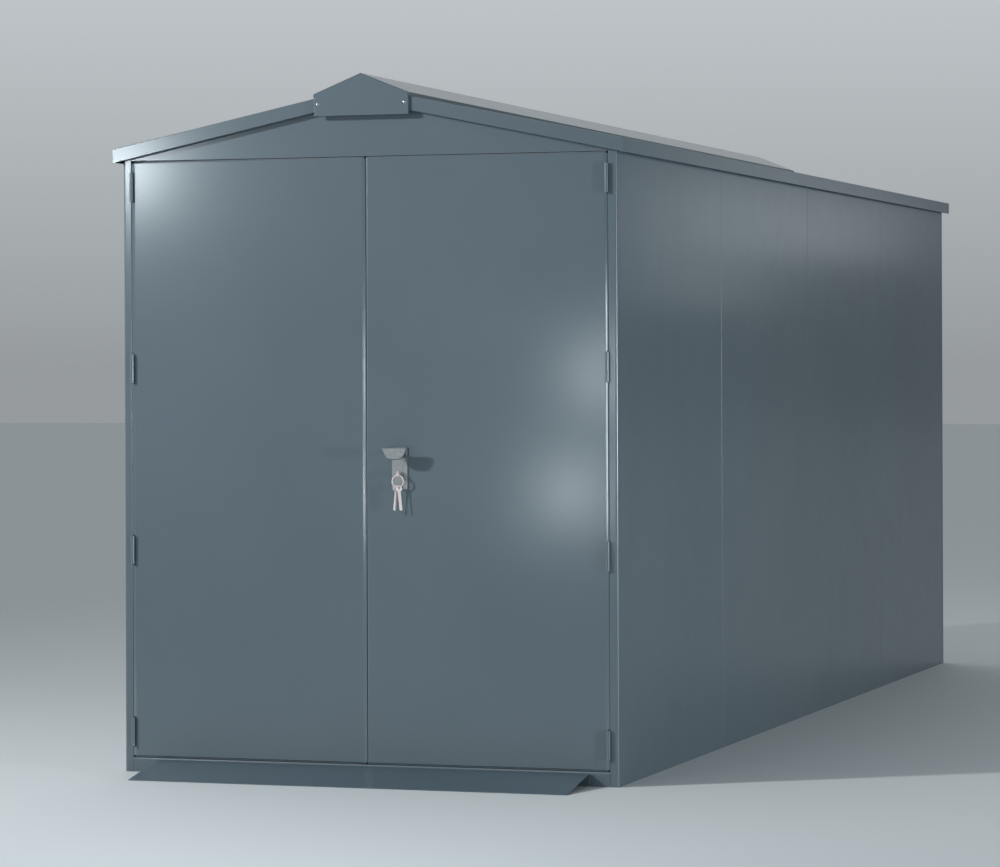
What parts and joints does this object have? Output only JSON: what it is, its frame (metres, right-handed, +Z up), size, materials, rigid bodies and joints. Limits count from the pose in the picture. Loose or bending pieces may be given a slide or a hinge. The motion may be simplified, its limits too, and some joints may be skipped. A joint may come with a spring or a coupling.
{
  "type": "metal tool shed",
  "caption": "Long narrow walk-in shed of folded, painted steel sheet with a low pitched roof, a raised ridge cap, a pair of lockable hinged doors in the gable end and a short ramp.",
  "frame": {"origin": "on the ground, in the middle of the overall outline, which runs from the toe of the ramp to the rear end of the ridge cap", "axes": "+X to the right when facing the doors from outside, +Y from the doors to the rear wall, +Z up"},
  "size_m": [1.568, 4.7204, 2.034],
  "materials": {
    "shell_paint": "satin",
    "floor_paint": "satin",
    "lock_metal": "satin",
    "key_metal": "polished"
  },
  "bodies": {
    "shed_body": {"access_ramp": "floor_paint", "door_header": "shell_paint", "door_sill": "shell_paint", "floor_panel_1": "floor_paint", "floor_panel_2": "floor_paint", "floor_panel_3": "floor_paint", "floor_panel_4": "floor_paint", "front_gable": "shell_paint", "front_post_left": "shell_paint", "front_post_right": "shell_paint", "rear_gable": "shell_paint", "rear_post_left": "shell_paint", "rear_post_right": "shell_paint", "rear_wall_left": "shell_paint", "rear_wall_right": "shell_paint", "ridge_cap": "shell_paint", "ridge_end_plates": "shell_paint", "roof_sheet_left_1": "shell_paint", "roof_sheet_left_2": "shell_paint", "roof_sheet_left_3": "shell_paint", "roof_sheet_left_4": "shell_paint", "roof_sheet_right_1": "shell_paint", "roof_sheet_right_2": "shell_paint", "roof_sheet_right_3": "shell_paint", "roof_sheet_right_4": "shell_paint", "side_wall_left_1": "shell_paint", "side_wall_left_2": "shell_paint", "side_wall_left_3": "shell_paint", "side_wall_left_4": "shell_paint", "side_wall_right_1": "shell_paint", "side_wall_right_2": "shell_paint", "side_wall_right_3": "shell_paint", "side_wall_right_4": "shell_paint"},
    "left_door": {"door_left": "shell_paint", "door_left_braces": "shell_paint"},
    "right_door": {"door_right": "shell_paint", "door_right_braces": "shell_paint", "lock_backplate": "lock_metal", "lock_key": "key_metal", "spare_keys": "key_metal"},
    "handle": {"lock_handle": "lock_metal"}
  },
  "joints": [
    {"name": "left_door_hinge", "type": "hinge", "parent": "shed_body", "child": "left_door", "pos_m": [-0.731, -2.14595, 0.919], "axis": [0, 0, -1], "range_deg": [0, 110]},
    {"name": "right_door_hinge", "type": "hinge", "parent": "shed_body", "child": "right_door", "pos_m": [0.731, -2.14595, 0.919], "axis": [0, 0, 1], "range_deg": [0, 110]},
    {"name": "handle_turn", "type": "hinge", "parent": "right_door", "child": "handle", "pos_m": [0.106, -2.14415, 0.94], "axis": [0, 1, 0], "range_deg": [0, 90]}
  ]
}
